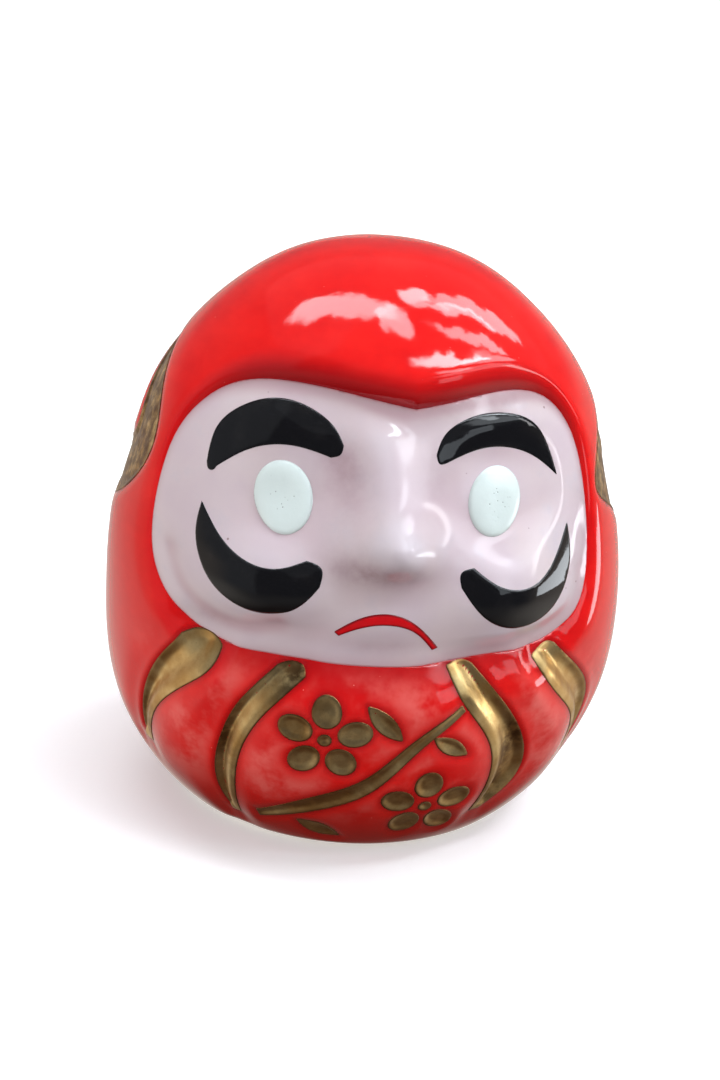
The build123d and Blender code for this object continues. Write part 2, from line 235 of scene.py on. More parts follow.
EAR_MARKS = {
    "ear_mark_left": [
        [(-110.0, 91.0), (-84.0, 86.0), (-68.5, 74.0), (-76.0, 64.0)],
        [(-92.0, 57.5), (-106.0, 60.5)],
        [(-101.0, 68.0), (-88.0, 73.0), (-96.0, 82.0)],
    ],
    "ear_mark_right": [
        [(112.0, 88.0), (86.0, 82.5), (68.0, 77.0), (60.5, 70.8), (68.0, 66.0)],
        [(92.0, 57.0), (106.0, 60.0)],
        [(101.0, 67.5), (88.0, 72.5), (97.0, 80.0)],
    ],
}
TWIG = [
    [(-20.0, 9.0), (-11.0, 15.5), (-2.0, 21.0), (6.0, 29.5)],
    [(15.0, 36.5)],
    [(15.8, 35.2), (7.5, 27.5), (0.0, 18.0), (-9.0, 12.2)],
    [(-19.0, 7.0)],
]
BLOSSOMS = {"blossom_left": (-9.5, 29.5), "blossom_right": (10.5, 14.0)}
PETAL_COUNT = 5
PETAL_REACH = 5.6
PETAL_LENGTH, PETAL_WIDTH = 6.4, 5.4
BLOSSOM_HEART = 1.3
LEAVES = {  # (root, tip, half width)
    "leaf_low": ((-12.6, 8.6), (-4.0, 4.4), 1.8),
    "leaf_high": ((4.5, 30.0), (-2.5, 37.0), 1.8),
    "leaf_right": ((10.0, 30.5), (17.0, 26.0), 1.7),
}


# ---- small curve tools
def smoothstep(value):
    value = np.clip(value, 0.0, 1.0)
    return value * value * (3 - 2 * value)


def spline(points, steps=14):
    """A natural cubic spline through points, as a dense polyline."""
    points = np.asarray(points, float)
    if len(points) == 2:
        share = np.linspace(0, 1, 5)[:, None]
        return points[0] * (1 - share) + points[1] * share
    spacing = np.sqrt(np.linalg.norm(np.diff(points, axis=0), axis=1))
    at = np.concatenate([[0.0], np.cumsum(spacing)])
    system = np.eye(len(points))
    target = np.zeros_like(points)
    for i in range(1, len(points) - 1):
        before, after = spacing[i - 1], spacing[i]
        system[i, i - 1 : i + 2] = before, 2 * (before + after), after
        rise = (points[i + 1] - points[i]) / after - (points[i] - points[i - 1]) / before
        target[i] = 6 * rise
    bend = np.linalg.solve(system, target)
    pieces = []
    for i, width in enumerate(spacing):
        place = np.linspace(at[i], at[i + 1], steps, endpoint=False)[:, None]
        a, b = (at[i + 1] - place) / width, (place - at[i]) / width
        curve = (a**3 - a) * bend[i] + (b**3 - b) * bend[i + 1]
        pieces.append(a * points[i] + b * points[i + 1] + curve * width**2 / 6)
    return np.vstack(pieces + [points[-1:]])


def closed_loop(runs):
    ends = [run[:1] for run in runs[1:] + runs[:1]]
    return np.vstack([spline(run + end)[:-1] for run, end in zip(runs, ends)])


def ellipse(x, z, half_width, half_height, turn=0.0, steps=72):
    around = np.linspace(0, 2 * math.pi, steps, endpoint=False)
    u, v = half_width * np.cos(around), half_height * np.sin(around)
    c, s = math.cos(turn), math.sin(turn)
    return np.stack([x + u * c - v * s, z + u * s + v * c], axis=1)


def leaf(root, tip, half_width, steps=24):
    """Two arcs from root to tip."""
    root, tip = np.array(root), np.array(tip)
    along = tip - root
    aside = np.array([-along[1], along[0]]) / np.linalg.norm(along) * half_width
    share = np.linspace(0, 1, steps, endpoint=False)[:, None]
    bow = 4 * share * (1 - share)
    return np.vstack([root + along * share + aside * bow, tip - along * share - aside * bow])


def signed_distance(points, loop, reach):
    """Distance of each point to a closed loop, positive inside, and never under -reach."""
    result = np.full(len(points), -float(reach))
    near = np.all((points > loop.min(0) - reach) & (points < loop.max(0) + reach), axis=1)
    if not near.any():
        return result
    x, y = points[near].T
    best = np.full(len(x), np.inf)
    inside = np.zeros(len(x), bool)
    for (ax, ay), (bx, by) in zip(loop, np.roll(loop, -1, axis=0)):
        dx, dy = bx - ax, by - ay
        share = np.clip(((x - ax) * dx + (y - ay) * dy) / (dx * dx + dy * dy + 1e-12), 0, 1)
        best = np.minimum(best, (x - ax - share * dx) ** 2 + (y - ay - share * dy) ** 2)
        if ay != by:
            inside ^= ((ay > y) != (by > y)) & (x < ax + (y - ay) * dx / dy)
    distance = np.sqrt(best)
    result[near] = np.maximum(np.where(inside, distance, -distance), -reach)
    return result


# ---- the form
def ring_radius(z):
    upper = np.clip((z - WAIST_Z) / (HEIGHT - WAIST_Z), 0, 1)
    lower = np.clip((WAIST_Z - z) / LOWER_REACH, 0, 1)
    above = (1 - upper ** UPPER_POWERS[0]) ** (1 / UPPER_POWERS[1])
    below = (1 - lower ** LOWER_POWERS[0]) ** (1 / LOWER_POWERS[1])
    return HALF_WIDTH * np.where(z >= WAIST_Z, above, below)


def form(angle, z):
    """Points of the plain outer form and their outward directions."""
    radius = ring_radius(z)
    step = 0.01
    low, high = np.maximum(z - step, 0), np.minimum(z + step, HEIGHT)
    slope = (ring_radius(high) - ring_radius(low)) / (high - low)
    flat = HALF_DEPTH / HALF_WIDTH
    points = np.stack([radius * np.sin(angle), -flat * radius * np.cos(angle), z], axis=-1)
    outward = np.stack([flat * np.sin(angle), -np.cos(angle), -flat * slope], axis=-1)
    return points, outward / np.linalg.norm(outward, axis=-1, keepdims=True)


def unrolled(points):
    """(x, z) from straight in front, as widths round the form and heights."""
    sine = np.clip(points[:, 0] / ring_radius(points[:, 1]), -1, 1)
    return np.stack([ARC * np.arcsin(sine), points[:, 1]], axis=1)


def from_angles(runs):
    loop = closed_loop(runs)
    return np.stack([ARC * np.radians(loop[:, 0]), loop[:, 1]], axis=1)


def motif_loops():
    """The twig, its leaves and its blossoms, each petal apart."""
    loops = {"twig": closed_loop(TWIG)}
    for name, size in LEAVES.items():
        loops[name] = leaf(*size)
    for name, (x, z) in BLOSSOMS.items():
        loops[f"{name}_heart"] = ellipse(x, z, BLOSSOM_HEART, BLOSSOM_HEART)
        for petal in range(PETAL_COUNT):
            turn = math.radians(90 + 360 / PETAL_COUNT * petal)
            middle = (x + PETAL_REACH * math.cos(turn), z + PETAL_REACH * math.sin(turn))
            petal_loop = ellipse(*middle, PETAL_LENGTH / 2, PETAL_WIDTH / 2, turn)
            loops[f"{name}_petal_{petal + 1}"] = petal_loop
    return {name: unrolled(loop) for name, loop in loops.items()}


FACE_LOOP = unrolled(closed_loop(FACE_OUTLINE))
BLACK_LOOPS = {name: unrolled(closed_loop(runs)) for name, runs in BLACK_MARKS.items()}
MOUTH_LOOP = unrolled(closed_loop(MOUTH))
EYE_LOOPS = {name: unrolled(ellipse(*size)) for name, size in EYES.items()}
STRIPE_LOOPS = {name: from_angles(runs) for name, runs in STRIPES.items()}
EAR_LOOPS = {name: from_angles(runs) for name, runs in EAR_MARKS.items()}
MOTIF_LOOPS = motif_loops()
GOLD_LOOPS = {**STRIPE_LOOPS, **EAR_LOOPS, **MOTIF_LOOPS}


# ---- relief
def swells(x, z):
    """Height of the nose, cheeks, brows and eye sockets over the plain face."""
    down = np.clip((RIDGE_TOP_Z - z) / (RIDGE_TOP_Z - RIDGE_FOOT_Z), 0, 1)
    foot = smoothstep((z - RIDGE_FOOT_Z) / RIDGE_FOOT_BLEND)
    aside = x - RIDGE_X - RIDGE_LEAN * (z - RIDGE_FOOT_Z)
    total = RIDGE_HEIGHT * down * foot * np.exp(-((aside / RIDGE_HALF_WIDTH) ** 2))
    for middle_x, middle_z, half_width, half_height, rise, squareness in FACE_SWELLS:
        spread = ((x - middle_x) / half_width) ** 2 + ((z - middle_z) / half_height) ** 2
        total = total + rise * np.exp(-(spread**squareness))
    for path in CREASES:
        line = spline(path)
        there_and_back = np.vstack([line, line[::-1]])
        off = signed_distance(np.stack([x, z], axis=1), there_and_back, 3 * CREASE_REACH)
        total = total - CREASE_DEPTH * np.exp(-((off / CREASE_REACH) ** 2))
    return total


def inside_face(angle, z):
    """Distance to the face's edge on the unrolled form, positive inside the face."""
    return signed_distance(np.stack([ARC * angle, z], axis=1), FACE_LOOP, FACE_REACH)


def round_face(z, side, over, at_side, at_chin):
    """A measure that is over above the face, at_side at its sides and at_chin under it."""
    level = smoothstep((z - CHIN_Z) / (TOP_Z - CHIN_Z))
    middle = at_chin + (over - at_chin) * level
    return middle + (at_side - middle) * side**3


def push_back(angle, z):
    """How far the surface lies straight behind the plain form: the face and its rolled edge."""
    x = ring_radius(z) * np.sin(angle)
    front = np.cos(angle) > 0
    inside = inside_face(angle, z)
    side = np.clip(np.abs(x) / FACE_HALF_WIDTH, 0, 1)
    drop = round_face(z, side, *EDGE_DROP)
    width = round_face(z, side, *EDGE_ROLL)
    roll = drop * np.clip(1 + inside / width, 0, 1) ** ROLL_POWER
    chin = smoothstep((CHIN_Z - z) / CHIN_BLEND) * (1 - side**3)
    top = smoothstep((z - TOP_Z) / TOP_BLEND) * (1 - side**3)
    plain = FACE_DEPTH - (FACE_DEPTH - FACE_DEPTH_SIDE) * side**2
    plain = plain + (FACE_DEPTH_CHIN - FACE_DEPTH) * chin + (FACE_DEPTH_TOP - FACE_DEPTH) * top
    blend = round_face(z, side, *FACE_BLEND)
    settled = drop + (plain - drop) * smoothstep(inside / blend)
    face = settled - swells(x, z) * smoothstep(inside / SWELL_BLEND)
    return np.where(front, np.where(inside < 0, roll, face), 0.0)


def wobble(angle, z):
    """The slight unevenness of a casting finished by hand."""
    total = 0.0
    for turns, climb, start in WOBBLE_WAVES:
        total = total + np.sin(turns * angle + start) * np.cos(climb * z + start * 1.7)
    return WOBBLE * total * ring_radius(z) / HALF_WIDTH


def troughs(place, loops, depth, reach, deeper, slope):
    """How deep each place lies in the troughs that run along and inside these loops."""
    total = np.zeros(len(place))
    for loop in loops.values():
        inside = signed_distance(place, loop, 3 * reach)
        edge = depth * np.exp(-((np.minimum(inside, 0) / reach) ** 2))
        total = np.maximum(total, edge + deeper * smoothstep(inside / slope))
    return total


def sink(angle, z):
    """How far the surface lies under the plain form: grooves, folds and dents."""
    place = np.stack([ARC * angle, z], axis=1)
    depth, height, half_height = CROWN_FLAT
    total = depth * np.exp(-(((z - height) / half_height) ** 2))
    for middle, height, half_angle, half_height, rise in TEMPLES:
        off = (np.abs(np.degrees(angle)) - middle) / half_angle
        total = total - rise * np.exp(-(off**2) - ((z - height) / half_height) ** 2)
    shift = np.stack([np.sign(angle) * FOLD_SHIFT[0], np.full(len(z), FOLD_SHIFT[1])], axis=1)
    fold = troughs(place - shift, STRIPE_LOOPS, *FOLDS)
    groove = troughs(place, {**MOTIF_LOOPS, **EAR_LOOPS}, *GROOVES)
    return total + fold + groove + wobble(angle, z)


def surface(angle, z, lift=0.0):
    """Points of the finished surface. lift moves them out from it."""
    points, outward = form(angle, z)
    points = points + outward * (lift - sink(angle, z))[:, None]
    points[:, 1] += push_back(angle, z)
    lean, height, half_height = SWAY
    points[:, 0] += lean * np.sin(angle) ** 2 * np.exp(-(((z - height) / half_height) ** 2))
    return points


def hollowness(angle, z):
    """How hollow the front is at each point: positive in hollows, negative on bumps."""
    around = 0.0
    for turn in np.linspace(0, 2 * math.pi, HOLLOW_PROBES, endpoint=False):
        aside, up = HOLLOW_RADIUS * math.cos(turn), HOLLOW_RADIUS * math.sin(turn)
        around = around + push_back(angle + aside / ARC, z + up) / HOLLOW_PROBES
    return push_back(angle, z) - around


def soft_patches(patches, across, z):
    """The summed strength of soft round patches, each (across, z, two half sizes, strength)."""
    total = 0.0
    for middle, height, half_width, half_height, strength in patches:
        spread = ((across - middle) / half_width) ** 2 + ((z - height) / half_height) ** 2
        total = total + strength * np.exp(-spread)
    return np.clip(total, 0, 1)


def stripe_painted_reflection(points):
    """How much painted dark reflection the gold of the stripes has at each point, as a brown tone."""
    angle = np.degrees(np.arctan2(points[:, 0], -points[:, 1]))
    return soft_patches(STRIPE_REFLECTION_PATCHES, angle, points[:, 2])


def even_brown(share):
    return lambda points: np.full(len(points), share)


def edge_shade(angle, z):
    """Painted shade with pooled glaze: 1 where the robe meets the face, over its top and under its
    chin, fading outward.
    """
    x = np.abs(ring_radius(z) * np.sin(angle)) / FACE_HALF_WIDTH
    near = smoothstep(1 + inside_face(angle, z) / RIM_SHADE_REACH)
    near = near * smoothstep((RIM_SHADE_END - x) / RIM_SHADE_FADE)
    return near * (np.cos(angle) > 0) * np.where(z > RIM_SHADE_LOW_Z, 1.0, RIM_SHADE_LOW)


def gold_nearness(angle, z, reach):
    """1 beside gold, fading to 0 at about reach from it."""
    place = np.stack([ARC * angle, z], axis=1)
    nearest = np.full(len(z), -4 * reach)
    for loop in GOLD_LOOPS.values():
        nearest = np.maximum(nearest, signed_distance(place, loop, 4 * reach))
    return np.exp(-((np.minimum(nearest, 0) / reach) ** 2))


def robe_highs(angle, z):
    """1 on the robe's raised cloth between the folds, 0 in them and on the hood."""
    belly = smoothstep((PALE_TOP - z) / PALE_TOP_FADE)
    belly = belly * smoothstep((z - PALE_FOOT) / PALE_FOOT_FADE)
    belly = belly * smoothstep((PALE_ANGLE - np.abs(angle)) / PALE_ANGLE_FADE)
    return belly * (1 - gold_nearness(angle, z, PALE_GOLD_REACH))


# ---- mesh tools
def grid_faces(columns, rows, wrap=False):
    """Quads of a grid of points stored row by row, facing out when columns go round to +X."""
    column, row = np.meshgrid(np.arange(columns if wrap else columns - 1), np.arange(rows - 1))
    after = (column + 1) % columns
    here, above = row * columns, (row + 1) * columns
    quads = np.stack([here + column, here + after, above + after, above + column], axis=-1)
    return quads.reshape(-1, 4)


def clip(places, quads, keep):
    """The part of a grid where keep is positive, cut cleanly where it passes zero.

    Returns the places, with new ones on the cut, and a list of faces.
    """
    inside = keep > 0
    count = inside[quads].sum(axis=1)
    faces = [tuple(quad) for quad in quads[count == 4].tolist()]
    cut, new_places = {}, []

    def crossing(a, b):
        key = (min(a, b), max(a, b))
        if key not in cut:
            share = keep[a] / (keep[a] - keep[b])
            cut[key] = len(places) + len(new_places)
            new_places.append(places[a] * (1 - share) + places[b] * share)
        return cut[key]

    def cut_triangle(triangle):
        face = []
        for here, ahead in zip(triangle, triangle[1:] + triangle[:1]):
            if inside[here]:
                face.append(here)
            if inside[here] != inside[ahead]:
                face.append(crossing(here, ahead))
        return tuple(face)

    for a, b, c, d in quads[(count > 0) & (count < 4)].tolist():
        pieces = [cut_triangle((a, b, c)), cut_triangle((a, c, d))]
        faces += [face for face in pieces if len(face) > 2]
    places = np.vstack([places] + [np.array(new_places)] if new_places else [places])
    used = np.unique(np.concatenate([np.asarray(face) for face in faces]))
    renumber = np.full(len(places), -1)
    renumber[used] = np.arange(len(used))
    return places[used], [tuple(renumber[list(face)].tolist()) for face in faces]


def border_loops(faces):
    """The open borders of a mesh, each a list of points in the direction of its faces."""
    edges = set()
    for face in faces:
        edges.update(zip(face, face[1:] + face[:1]))
    after = {a: b for a, b in edges if (b, a) not in edges}
    loops = []
    while after:
        start = next(iter(after))
        loop, here = [], start
        while here in after:
            loop.append(here)
            here = after.pop(here)
        loops.append(loop)
    return loops


def thick(top, bottom, faces):
    """A closed solid between two layers that share one net of faces."""
    count = len(top)
    solid = list(faces) + [tuple(i + count for i in reversed(face)) for face in faces]
    for loop in border_loops(faces):
        for a, b in zip(loop, loop[1:] + loop[:1]):
            solid.append((b, a, a + count, b + count))
    return np.vstack([top, bottom]), solid


def bridge(points, outer, inner):
    """Triangles between two loops that run the same way round."""
    start = int(np.argmin(np.linalg.norm(points[inner] - points[outer[0]], axis=1)))
    inner = inner[start:] + inner[:start]
    outer, inner = outer + outer[:1], inner + inner[:1]
    triangles, i, j = [], 0, 0
    while i < len(outer) - 1 or j < len(inner) - 1:
        left = i < len(outer) - 1
        if left and j < len(inner) - 1:
            along_outer = np.linalg.norm(points[outer[i + 1]] - points[inner[j]])
            along_inner = np.linalg.norm(points[outer[i]] - points[inner[j + 1]])
            left = along_outer < along_inner
        if left:
            triangles.append((outer[i + 1], outer[i], inner[j]))
            i += 1
        else:
            triangles.append((outer[i], inner[j], inner[j + 1]))
            j += 1
    return triangles


def make_piece(name, points, faces, material, replaced, marks=None):
    """A smooth mesh piece from points in millimetres. marks are named values at its points."""
    mesh = bpy.data.meshes.new(name)
    mesh.from_pydata((np.asarray(points) * MM).tolist(), [], faces)
    mesh.validate()
    for mark, values in (marks or {}).items():
        attribute = mesh.attributes.new(mark, "FLOAT", "POINT")
        attribute.data.foreach_set("value", np.asarray(values, np.float32))
    mesh.shade_smooth()
    piece = bpy.data.objects.new(name, mesh)
    bpy.context.scene.collection.objects.link(piece)
    mesh.materials.append(material)
    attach(piece, BODY)
    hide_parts(*replaced)


# ---- node tools
class Nodes:
    """A node tree, with short calls for the nodes used here."""

    def __init__(self, tree):
        self.tree = tree

    def add(self, kind, inputs=None, **settings):
        node = self.tree.nodes.new(kind)
        for key, value in settings.items():
            setattr(node, key, value)
        for socket, value in (inputs or {}).items():
            self.put(node.inputs[socket], value)
        return node

    def put(self, socket, value):
        if isinstance(value, bpy.types.NodeSocket):
            self.tree.links.new(value, socket)
        else:
            socket.default_value = value

    def mark(self, name):
        return self.add("ShaderNodeAttribute", attribute_name=name).outputs["Fac"]

    def place(self, stretch=(1, 1, 1)):
        """Object coordinates in millimetres."""
        where = self.add("ShaderNodeTexCoord").outputs["Object"]
        scale = tuple(1 / MM * s for s in stretch)
        return self.add("ShaderNodeMapping", {"Vector": where, "Scale": scale}).outputs[0]

    def noise(self, size, detail=3.0, roughness=0.5, stretch=(1, 1, 1), distortion=0.0):
        """Noise whose features are about size millimetres."""
        values = {"Vector": self.place(stretch), "Scale": 1 / size, "Detail": detail}
        values.update({"Roughness": roughness, "Distortion": distortion})
        return self.add("ShaderNodeTexNoise", values).outputs["Fac"]

    def spots(self, size, radius, edge=0.35):
        """1 in round spots scattered about size millimetres apart, else 0."""
        values = {"Vector": self.place(), "Scale": 1 / size}
        near = self.add("ShaderNodeTexVoronoi", values).outputs["Distance"]
        return self.span(near, radius / size, radius / size * (1 - edge))

    def span(self, value, low, high, to_low=0.0, to_high=1.0):
        """to_low where value is low and to_high where it is high, with a soft step between."""
        values = {"Value": value, "From Min": low, "From Max": high}
        values.update({"To Min": to_low, "To Max": to_high})
        node = self.add("ShaderNodeMapRange", values, interpolation_type="SMOOTHSTEP")
        return node.outputs["Result"]

    def calc(self, operation, a, b=0.0):
        node = self.add("ShaderNodeMath", operation=operation)
        self.put(node.inputs[0], a)
        self.put(node.inputs[1], b)
        return node.outputs[0]

    def blend(self, share, a, b):
        """Colour a, with this share of colour b over it."""
        node = self.add("ShaderNodeMix", data_type="RGBA")
        self.put(node.inputs[0], share)
        self.put(node.inputs[6], a)
        self.put(node.inputs[7], b)
        return node.outputs[2]

    def vector(self, operation, a, b=(0, 0, 0)):
        node = self.add("ShaderNodeVectorMath", {0: a, 1: b}, operation=operation)
        return node.outputs["Value" if operation == "LENGTH" else "Vector"]

    def split(self, vector):
        return self.add("ShaderNodeSeparateXYZ", {0: vector}).outputs

    def height(self):
        """Height over the floor in millimetres."""
        where = self.add("ShaderNodeTexCoord").outputs["Object"]
        return self.calc("DIVIDE", self.split(where)[2], MM)


class Surface(Nodes):
    """The nodes of a new material, made from one shader and its values."""

    def __init__(self, name, **shader_values):
        self.material = bpy.data.materials.new(name)
        self.material.use_nodes = True
        super().__init__(self.material.node_tree)
        self.shader = self.tree.nodes["Principled BSDF"]
        for socket, value in shader_values.items():
            self.shader.inputs[socket].default_value = value

    def colour(self, value):
        self.put(self.shader.inputs["Base Color"], value)

    def roughness(self, value):
        self.put(self.shader.inputs["Roughness"], value)

    def bump(self, height, depth):
        """height from 0 to 1 stands for depth millimetres."""
        values = {"Height": height, "Distance": depth * MM, "Strength": 1.0}
        node = self.add("ShaderNodeBump", values)
        self.put(self.shader.inputs["Normal"], node.outputs["Normal"])


def srgb(red, green, blue):
    """A colour as it looks on a screen, 0 to 255, as linear light."""
    linear = []
    for channel in (red, green, blue):
        value = channel / 255
        linear.append(value / 12.92 if value <= 0.04045 else ((value + 0.055) / 1.055) ** 2.4)
    return (*linear, 1.0)


# ---- materials
def red_glaze():
    n = Surface("red_glaze", Roughness=0.06, IOR=1.52)
    clouds = n.span(n.noise(17, 4, 0.6), 0.35, 0.7)
    streaks = n.span(n.noise(5, 3, 0.6, stretch=(0.35, 0.35, 1.6)), 0.3, 0.75)
    base = n.blend(clouds, srgb(214, 12, 12), srgb(226, 26, 21))
    base = n.blend(n.calc("MULTIPLY", streaks, 0.35), base, srgb(200, 8, 10))
    # painted shade with pooled glaze: darker red where the robe rolls under to meet the face
    base = n.blend(n.calc("MULTIPLY", n.mark("edge"), 0.85), base, srgb(132, 1, 12))
    pale = n.calc("MULTIPLY", n.mark("pale"), n.span(n.noise(9, 4, 0.6), 0.38, 0.66))
    base = n.blend(n.calc("MULTIPLY", pale, 0.75), base, srgb(236, 112, 104))
    base = n.blend(n.calc("MULTIPLY", n.mark("pool"), 0.6), base, srgb(130, 2, 8))
    # painted shade: the robe darkens to brown towards the foot
    base = n.blend(n.span(n.height(), 25, 3, 0.0, 0.7), base, srgb(104, 20, 10))
    specks = n.calc("MULTIPLY", n.spots(2.6, 0.13), n.span(n.noise(11, 2), 0.52, 0.66))
    base = n.blend(n.calc("MULTIPLY", specks, 0.6), base, srgb(240, 150, 140))
    n.colour(base)
    n.bump(n.noise(2.2, 2, 0.4), 0.012)
    return n.material


def white_glaze():
    n = Surface("white_glaze", Roughness=0.07, IOR=1.5)
    warmth = n.span(n.noise(14, 3, 0.5), 0.35, 0.65)
    base = n.blend(warmth, srgb(198, 181, 187), srgb(204, 188, 190))
    base = n.blend(n.span(n.noise(7, 4, 0.6), 0.5, 0.8, 0.0, 0.35), base, srgb(178, 174, 188))
    # painted shade in the face's hollows, and a painted lighter tone on its bumps
    base = n.blend(n.span(n.mark("hollow"), 0.0, 0.8, 0.0, 0.7), base, srgb(178, 144, 149))
    base = n.blend(n.span(n.mark("hollow"), 0.0, -0.8, 0.0, 0.5), base, srgb(204, 198, 205))
    # painted shade from FACE_SHADES: under the nose, the hood and the cheeks, and in the eyes'
    # corners
    shade = n.calc("MULTIPLY", n.mark("shade"), n.span(n.noise(3, 4, 0.6), 0.2, 0.8, 0.55, 1.0))
    base = n.blend(shade, base, srgb(132, 100, 104))
    base = n.blend(n.span(n.mark("across"), 0.45, 0.0, 0.0, 0.6), base, srgb(196, 120, 128))
    specks = n.calc("MULTIPLY", n.spots(5.5, 0.28), n.span(n.noise(8, 2), 0.5, 0.62))
    base = n.blend(n.calc("MULTIPLY", specks, 0.7), base, srgb(120, 92, 90))
    n.colour(base)
    n.bump(n.noise(2.5, 2, 0.4), 0.012)
    return n.material


def black_enamel():
    n = Surface("black_enamel", Roughness=0.06, IOR=1.5)
    thin = n.span(n.noise(4, 4, 0.6), 0.5, 0.8, 0.0, 0.5)
    n.colour(n.blend(thin, srgb(10, 10, 12), srgb(28, 26, 26)))
    n.bump(n.noise(1.6, 2, 0.5), 0.01)
    return n.material


def red_enamel():
    n = Surface("red_enamel", Roughness=0.1, IOR=1.5)
    base = n.blend(n.noise(2, 2), srgb(214, 2, 14), srgb(190, 2, 14))
    n.colour(n.blend(n.span(n.mark("across"), 0.5, 0.1), base, srgb(120, 2, 12)))
    n.bump(n.noise(1.2, 2, 0.5), 0.01)
    return n.material


def pale_enamel():
    n = Surface("pale_enamel", Roughness=0.08, IOR=1.5)
    inner = n.span(n.mark("across"), 2.0, 3.6)
    pits = n.calc("MULTIPLY", n.spots(0.9, 0.16), n.span(n.noise(1.6, 2), 0.42, 0.56))
    pits = n.calc("MULTIPLY", pits, inner)
    base = n.blend(n.noise(4, 3), srgb(202, 213, 210), srgb(212, 222, 219))
    n.colour(n.blend(n.calc("MULTIPLY", pits, 0.6), base, srgb(120, 128, 122)))
    n.bump(n.calc("SUBTRACT", n.noise(1.5, 3), pits), 0.05)
    return n.material


def gold_lustre():
    n = Surface("gold_lustre", Metallic=1.0)
    tone = n.span(n.noise(7, 4, 0.55, distortion=0.3), 0.3, 0.7)
    base = n.blend(tone, srgb(208, 164, 98), srgb(246, 216, 152))
    grain = n.noise(0.3, 3, 0.7)
    base = n.blend(n.span(grain, 0.55, 0.75, 0.0, 0.35), base, srgb(150, 104, 52))
    # painted dark reflection: brown places on the stripes where the gold mirrors a dark room, and an
    # even brown tone on the ear marks and the motif
    thin = n.calc("MULTIPLY", n.mark("thin"), n.span(n.noise(2.5, 4, 0.65), 0.25, 0.6))
    base = n.blend(thin, base, srgb(84, 50, 26))
    edge = n.span(n.mark("across"), 0.4, 0.0)
    base = n.blend(n.calc("MULTIPLY", edge, 0.8), base, srgb(96, 34, 16))
    n.colour(base)
    n.roughness(n.span(n.noise(1.5, 3), 0.3, 0.7, 0.28, 0.42))
    n.bump(n.calc("ADD", n.calc("MULTIPLY", grain, 0.5), n.noise(1.5, 3)), 0.03)
    return n.material


def fired_clay():
    n = Surface("fired_clay", Roughness=0.85)
    base = n.blend(n.noise(6, 4), srgb(214, 198, 176), srgb(196, 176, 150))
    n.colour(n.blend(n.spots(1.8, 0.2), base, srgb(150, 122, 96)))
    n.bump(n.noise(0.5, 3, 0.6), 0.06)
    return n.material


# ---- pieces
ROBE_GRID, ROBE_BACK_GRID = (400, 215), (150, 70)  # columns and rows of the glaze's two sides
CLAY_COLUMNS, CLAY_ROWS, CAVITY_ROWS = 160, 70, 40
BACK_DENSITY = 0.45  # the back's share of the columns that the front has
BACK_ANGLE, BACK_BLEND = 140, 30  # the back begins at this angle, over this many degrees
EDGE_BAND = 8.0  # distances to the edge of the robe's window are worked out this far
MARK_ROOT = 0.2  # enamel and gold reach this deep under the glaze
# (spacing of the grid, rise over the glaze, width of the rounded rim)
FACE_COAT = (0.4, 0.0, 1.0)
BLACK_COAT = (0.3, 0.12, 0.3)
MOUTH_COAT, MOUTH_SPREAD = (0.2, 0.16, 0.4), 0.2  # the line is this much wider all round
EYE_COAT = (0.3, 1.3, 4.4)
GOLD_COAT = (0.35, 0.1, 0.3)


def ring_heights(low, count):
    """Heights from low to just under the crown, evenly spaced along the form's side."""
    rise = np.sin(np.linspace(0, math.pi / 2, 2000))
    z = np.concatenate([np.linspace(low, WAIST_Z, 800)[:-1], WAIST_Z + (HEIGHT - WAIST_Z) * rise])
    side = np.hypot(np.diff(ring_radius(z)), np.diff(z))
    along = np.concatenate([[0.0], np.cumsum(side)])
    return np.interp(np.linspace(0, along[-1], count + 1)[:-1], along, z)


def ring_angles(count):
    """Angles all round, closer together at the front and sides than at the back."""
    fine = np.radians(np.linspace(-180, 180, 3601))
    front = smoothstep((math.radians(BACK_ANGLE) - np.abs(fine)) / math.radians(BACK_BLEND))
    density = BACK_DENSITY + (1 - BACK_DENSITY) * front
    total = np.concatenate([[0.0], np.cumsum((density[1:] + density[:-1]) / 2)])
    return np.interp(np.linspace(0, total[-1], count + 1)[:-1], total, fine)


def skin(columns, rows, low, sunk):
    """The robe's skin with the face left open, as points and faces."""
    angle, z = np.meshgrid(ring_angles(columns), ring_heights(low, rows))
    places = np.stack([angle.ravel(), z.ravel()], axis=1)
    unrolled_places = places * (ARC, 1)
    window = signed_distance(unrolled_places, FACE_LOOP, EDGE_BAND)
    window = np.where(np.cos(places[:, 0]) > 0, window, -EDGE_BAND)
    places, faces = clip(places, grid_faces(columns, rows, wrap=True), -window)
    points = surface(places[:, 0], places[:, 1], -sunk)
    top = np.nonzero(places[:, 1] > z.max() - 1e-6)[0]
    crown_rise = HEIGHT - z.max()
    order = top[np.argsort(places[top, 0])].tolist()
    crown = len(points)
    points = np.vstack([points, [[0.0, 0.0, points[top, 2].mean() + crown_rise]]])
    places = np.vstack([places, [[0.0, HEIGHT - 0.01]]])
    faces += [(a, b, crown) for a, b in zip(order, order[1:] + order[:1])]
    return points, faces, places


